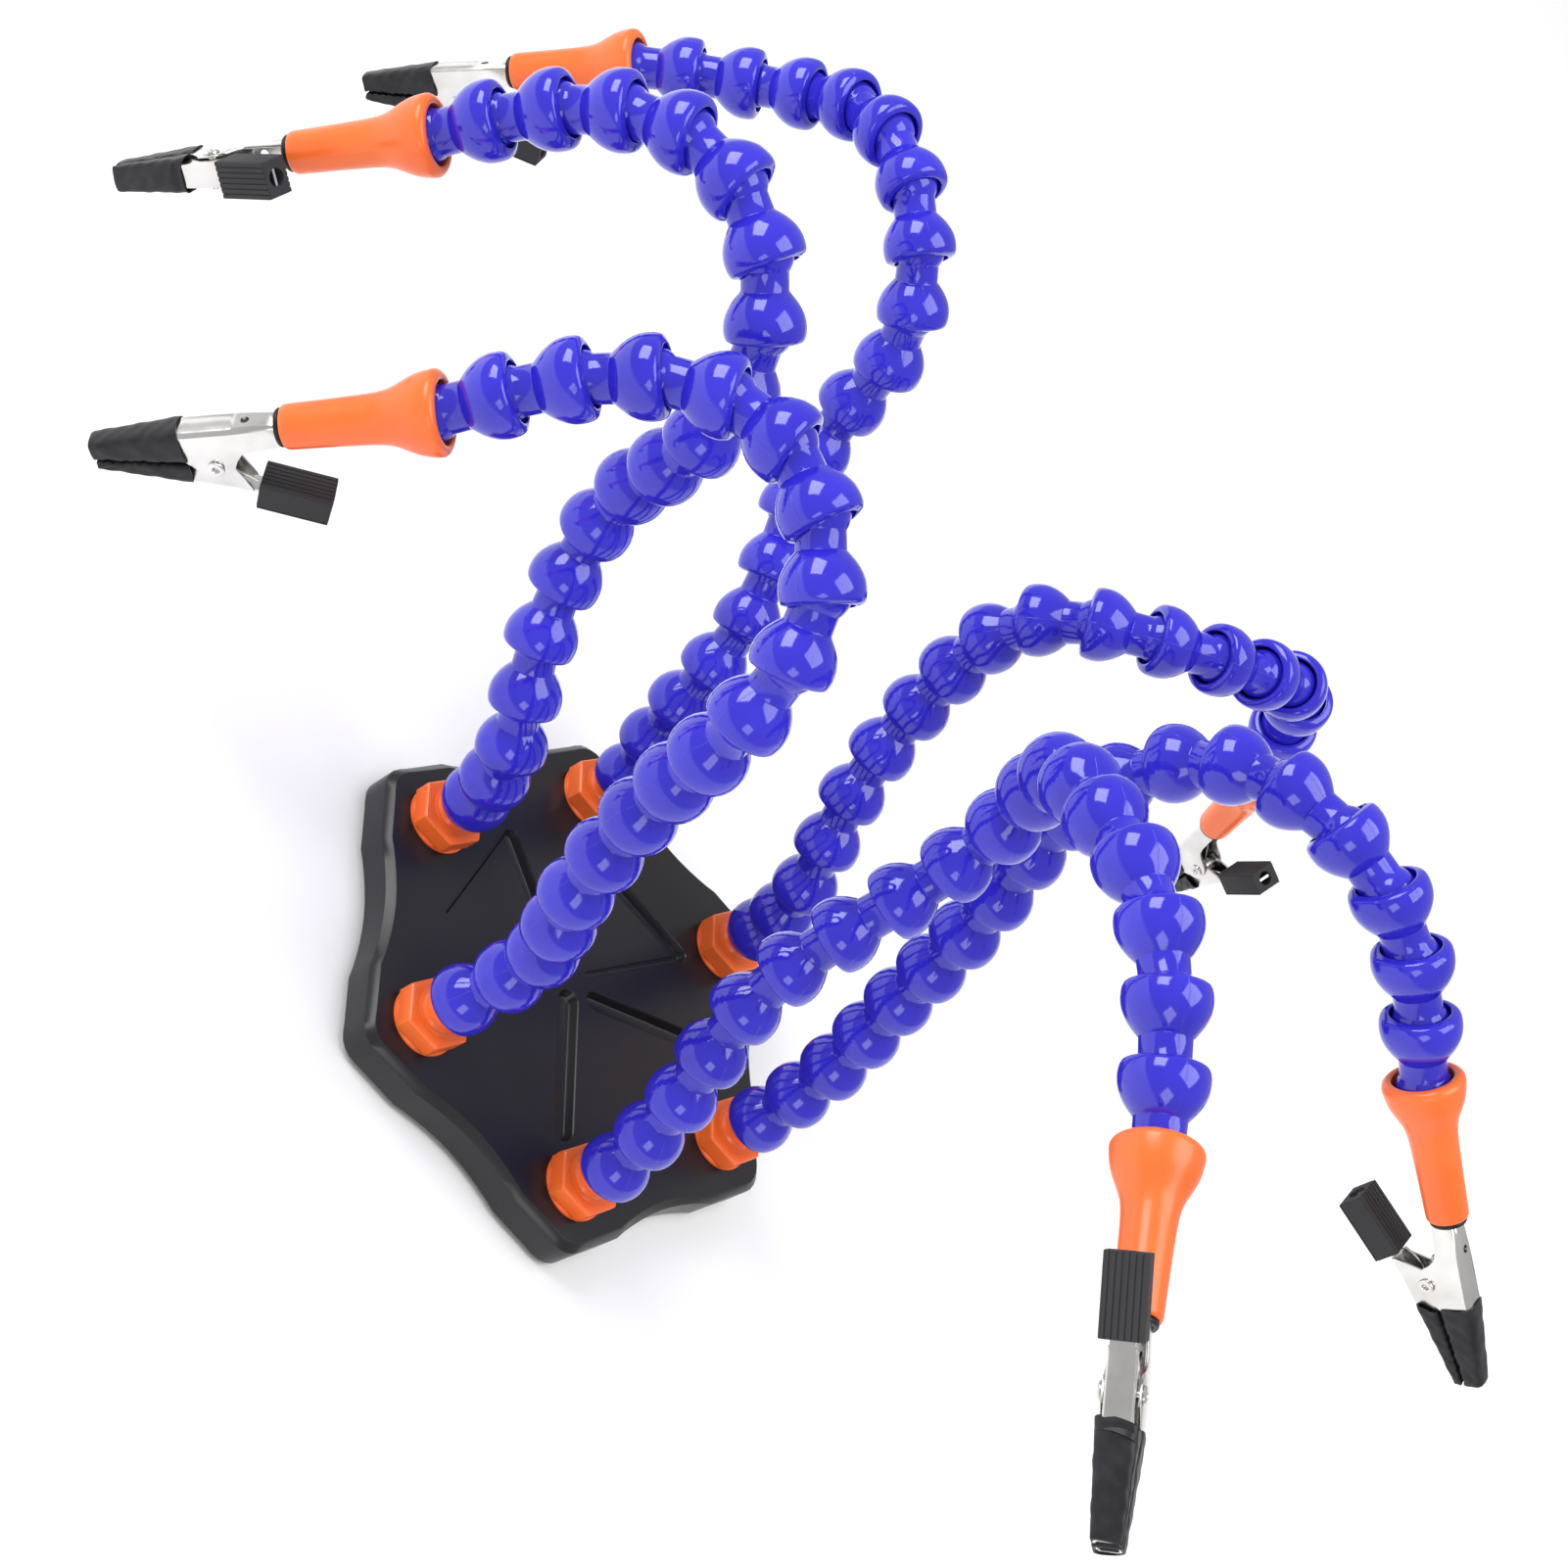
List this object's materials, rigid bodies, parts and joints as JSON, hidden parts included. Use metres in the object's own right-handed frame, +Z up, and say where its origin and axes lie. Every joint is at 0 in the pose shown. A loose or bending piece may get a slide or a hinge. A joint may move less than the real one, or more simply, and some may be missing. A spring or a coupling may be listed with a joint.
{
  "type": "helping hands clamp",
  "caption": "Bench holder: a flat scalloped base with flexible ball-and-socket arms, each ending in a nozzle with a spring clip that holds small work for soldering.",
  "frame": {"origin": "centre of the underside of the anti-slip pad", "axes": "+Z up, away from the bench; the fittings stand at 30 degrees plus multiples of 60 from +X"},
  "size_m": [0.3552, 0.3872, 0.2304],
  "materials": {
    "base_black": "satin black powder coat",
    "pad_rubber": "matt foam rubber",
    "segment_blue": "glossy moulded acetal",
    "fitting_orange": "semi-gloss moulded acetal",
    "clip_steel": "bright nickel plate",
    "grip_rubber": "ribbed black rubber"
  },
  "bodies": {
    "base": {"base_plate": "base_black", "base_pad": "pad_rubber", "arm1_fitting": "fitting_orange", "arm2_fitting": "fitting_orange", "arm3_fitting": "fitting_orange", "arm4_fitting": "fitting_orange", "arm5_fitting": "fitting_orange", "arm6_fitting": "fitting_orange"},
    "arm1_lower": {"arm1_lower_segments": "segment_blue"},
    "arm1_middle": {"arm1_middle_segments": "segment_blue"},
    "arm1_upper": {"arm1_upper_segments": "segment_blue"},
    "arm1_clip": {"arm1_nozzle": "fitting_orange", "arm1_fixed_jaw": "clip_steel", "arm1_pivot_pin": "clip_steel"},
    "arm1_jaw": {"arm1_moving_jaw": "clip_steel", "arm1_grip": "grip_rubber"},
    "arm2_lower": {"arm2_lower_segments": "segment_blue"},
    "arm2_middle": {"arm2_middle_segments": "segment_blue"},
    "arm2_upper": {"arm2_upper_segments": "segment_blue"},
    "arm2_clip": {"arm2_nozzle": "fitting_orange", "arm2_fixed_jaw": "clip_steel", "arm2_pivot_pin": "clip_steel"},
    "arm2_jaw": {"arm2_moving_jaw": "clip_steel", "arm2_grip": "grip_rubber"},
    "arm3_lower": {"arm3_lower_segments": "segment_blue"},
    "arm3_middle": {"arm3_middle_segments": "segment_blue"},
    "arm3_upper": {"arm3_upper_segments": "segment_blue"},
    "arm3_clip": {"arm3_nozzle": "fitting_orange", "arm3_fixed_jaw": "clip_steel", "arm3_pivot_pin": "clip_steel"},
    "arm3_jaw": {"arm3_moving_jaw": "clip_steel", "arm3_grip": "grip_rubber"},
    "arm4_lower": {"arm4_lower_segments": "segment_blue"},
    "arm4_middle": {"arm4_middle_segments": "segment_blue"},
    "arm4_upper": {"arm4_upper_segments": "segment_blue"},
    "arm4_clip": {"arm4_nozzle": "fitting_orange", "arm4_fixed_jaw": "clip_steel", "arm4_pivot_pin": "clip_steel"},
    "arm4_jaw": {"arm4_moving_jaw": "clip_steel", "arm4_grip": "grip_rubber"},
    "arm5_lower": {"arm5_lower_segments": "segment_blue"},
    "arm5_middle": {"arm5_middle_segments": "segment_blue"},
    "arm5_upper": {"arm5_upper_segments": "segment_blue"},
    "arm5_clip": {"arm5_nozzle": "fitting_orange", "arm5_fixed_jaw": "clip_steel", "arm5_pivot_pin": "clip_steel"},
    "arm5_jaw": {"arm5_moving_jaw": "clip_steel", "arm5_grip": "grip_rubber"},
    "arm6_lower": {"arm6_lower_segments": "segment_blue"},
    "arm6_middle": {"arm6_middle_segments": "segment_blue"},
    "arm6_upper": {"arm6_upper_segments": "segment_blue"},
    "arm6_clip": {"arm6_nozzle": "fitting_orange", "arm6_fixed_jaw": "clip_steel", "arm6_pivot_pin": "clip_steel"},
    "arm6_jaw": {"arm6_moving_jaw": "clip_steel", "arm6_grip": "grip_rubber"}
  },
  "joints": [
    {"name": "arm1_lower_bend", "type": "hinge", "parent": "base", "child": "arm1_lower", "pos_m": [-0.04832, 0.0279, 0.027], "axis": [0.4703, -0.8825, 0], "range_deg": [-18, 1]},
    {"name": "arm1_middle_bend", "type": "hinge", "parent": "arm1_lower", "child": "arm1_middle", "pos_m": [-0.07816, 0.05228, 0.10494], "axis": [0.9855, 0.0297, 0.1672], "range_deg": [-20, 1]},
    {"name": "arm1_upper_bend", "type": "hinge", "parent": "arm1_middle", "child": "arm1_upper", "pos_m": [-0.10191, 0.06517, 0.1842], "axis": [-0.7369, -0.6661, 0.1152], "range_deg": [-13, 1.5]},
    {"name": "arm1_clip_swivel", "type": "hinge", "parent": "arm1_upper", "child": "arm1_clip", "pos_m": [-0.15211, 0.10101, 0.13279], "axis": [-0.5203, 0.096, -0.8485], "continuous": true},
    {"name": "arm1_jaw_hinge", "type": "hinge", "parent": "arm1_clip", "child": "arm1_jaw", "pos_m": [-0.17909, 0.1001, 0.09468], "axis": [-0.7151, 0.4943, 0.4944], "range_deg": [0, 14], "stiffness_Nm_per_rad": 0.08, "springref_deg": -40.11},
    {"name": "arm2_lower_bend", "type": "hinge", "parent": "base", "child": "arm2_lower", "pos_m": [0, 0.0558, 0.027], "axis": [-0.4938, -0.8696, 0], "range_deg": [-19, 2]},
    {"name": "arm2_middle_bend", "type": "hinge", "parent": "arm2_lower", "child": "arm2_middle", "pos_m": [-0.016, 0.09097, 0.10562], "axis": [0.9873, 0.1491, 0.0545], "range_deg": [-17, 8]},
    {"name": "arm2_upper_bend", "type": "hinge", "parent": "arm2_middle", "child": "arm2_upper", "pos_m": [-0.04255, 0.1351, 0.17303], "axis": [-0.8727, -0.3887, -0.2956], "range_deg": [-18, 2]},
    {"name": "arm2_clip_swivel", "type": "hinge", "parent": "arm2_upper", "child": "arm2_clip", "pos_m": [-0.08631, 0.18308, 0.12067], "axis": [-0.5253, 0.1801, -0.8317], "continuous": true},
    {"name": "arm2_jaw_hinge", "type": "hinge", "parent": "arm2_clip", "child": "arm2_jaw", "pos_m": [-0.10628, 0.18856, 0.0788], "axis": [-0.4815, -0.8688, 0.1159], "range_deg": [0, 14], "stiffness_Nm_per_rad": 0.08, "springref_deg": -40.11},
    {"name": "arm3_lower_bend", "type": "hinge", "parent": "base", "child": "arm3_lower", "pos_m": [0.04832, 0.0279, 0.027], "axis": [0.4625, -0.8866, 0], "range_deg": [-22, 2]},
    {"name": "arm3_middle_bend", "type": "hinge", "parent": "arm3_lower", "child": "arm3_middle", "pos_m": [0.02247, 0.04733, 0.1094], "axis": [0.9721, -0.1197, 0.2017], "range_deg": [-18, 10]},
    {"name": "arm3_upper_bend", "type": "hinge", "parent": "arm3_middle", "child": "arm3_upper", "pos_m": [0.04855, 0.03813, 0.18207], "axis": [-0.1819, 0.7605, 0.6233], "range_deg": [-20, 2]},
    {"name": "arm3_clip_swivel", "type": "hinge", "parent": "arm3_upper", "child": "arm3_clip", "pos_m": [0.12125, 0.05505, 0.14222], "axis": [0.5003, 0.1253, -0.8567], "continuous": true},
    {"name": "arm3_jaw_hinge", "type": "hinge", "parent": "arm3_clip", "child": "arm3_jaw", "pos_m": [0.14801, 0.05599, 0.10394], "axis": [-0.6429, -0.6091, -0.4645], "range_deg": [0, 14], "stiffness_Nm_per_rad": 0.08, "springref_deg": -40.11},
    {"name": "arm4_lower_bend", "type": "hinge", "parent": "base", "child": "arm4_lower", "pos_m": [0.04832, -0.0279, 0.027], "axis": [-0.674, -0.7387, 0], "range_deg": [-20, 4]},
    {"name": "arm4_middle_bend", "type": "hinge", "parent": "arm4_lower", "child": "arm4_middle", "pos_m": [0.02972, -0.01602, 0.11523], "axis": [-0.7744, -0.6175, -0.1382], "range_deg": [-11, 12]},
    {"name": "arm4_upper_bend", "type": "hinge", "parent": "arm4_middle", "child": "arm4_upper", "pos_m": [0.01805, -0.01379, 0.20204], "axis": [0.8553, 0.4934, 0.1581], "range_deg": [-16, 2]},
    {"name": "arm4_clip_swivel", "type": "hinge", "parent": "arm4_upper", "child": "arm4_clip", "pos_m": [0.07131, -0.07279, 0.20509], "axis": [0.6791, -0.6375, -0.3638], "continuous": true},
    {"name": "arm4_jaw_hinge", "type": "hinge", "parent": "arm4_clip", "child": "arm4_jaw", "pos_m": [0.10149, -0.10036, 0.18249], "axis": [0.7053, 0.704, 0.083], "range_deg": [0, 14], "stiffness_Nm_per_rad": 0.08, "springref_deg": -40.11},
    {"name": "arm5_lower_bend", "type": "hinge", "parent": "base", "child": "arm5_lower", "pos_m": [0, -0.0558, 0.027], "axis": [-0.7181, -0.6959, 0], "range_deg": [-18, 2]},
    {"name": "arm5_middle_bend", "type": "hinge", "parent": "arm5_lower", "child": "arm5_middle", "pos_m": [-0.00941, -0.02988, 0.11278], "axis": [-0.1368, 0.9591, -0.2478], "range_deg": [-17, 1.5]},
    {"name": "arm5_upper_bend", "type": "hinge", "parent": "arm5_middle", "child": "arm5_upper", "pos_m": [-0.02191, -0.03159, 0.19215], "axis": [0.7015, 0.2404, 0.6709], "range_deg": [-14, 3]},
    {"name": "arm5_clip_swivel", "type": "hinge", "parent": "arm5_upper", "child": "arm5_clip", "pos_m": [-0.02199, -0.1167, 0.20257], "axis": [-0.1417, -0.9806, -0.1355], "continuous": true},
    {"name": "arm5_jaw_hinge", "type": "hinge", "parent": "arm5_clip", "child": "arm5_jaw", "pos_m": [-0.03368, -0.16184, 0.19977], "axis": [-0.5426, 0.1914, -0.8179], "range_deg": [0, 14], "stiffness_Nm_per_rad": 0.08, "springref_deg": -40.11},
    {"name": "arm6_lower_bend", "type": "hinge", "parent": "base", "child": "arm6_lower", "pos_m": [-0.04832, -0.0279, 0.027], "axis": [-0.5417, 0.8406, 0], "range_deg": [-20, 1.5]},
    {"name": "arm6_middle_bend", "type": "hinge", "parent": "arm6_lower", "child": "arm6_middle", "pos_m": [-0.07068, -0.0253, 0.11341], "axis": [0.975, 0.0038, 0.222], "range_deg": [-5, 10]},
    {"name": "arm6_upper_bend", "type": "hinge", "parent": "arm6_middle", "child": "arm6_upper", "pos_m": [-0.0911, 0.00194, 0.18812], "axis": [-0.7562, -0.5089, 0.4113], "range_deg": [-12, 2]},
    {"name": "arm6_clip_swivel", "type": "hinge", "parent": "arm6_upper", "child": "arm6_clip", "pos_m": [-0.14519, 0.02798, 0.13368], "axis": [-0.5798, 0.0419, -0.8137], "continuous": true},
    {"name": "arm6_jaw_hinge", "type": "hinge", "parent": "arm6_clip", "child": "arm6_jaw", "pos_m": [-0.16711, 0.02868, 0.09244], "axis": [-0.187, -0.9789, 0.0829], "range_deg": [0, 14], "stiffness_Nm_per_rad": 0.08, "springref_deg": -40.11}
  ]
}
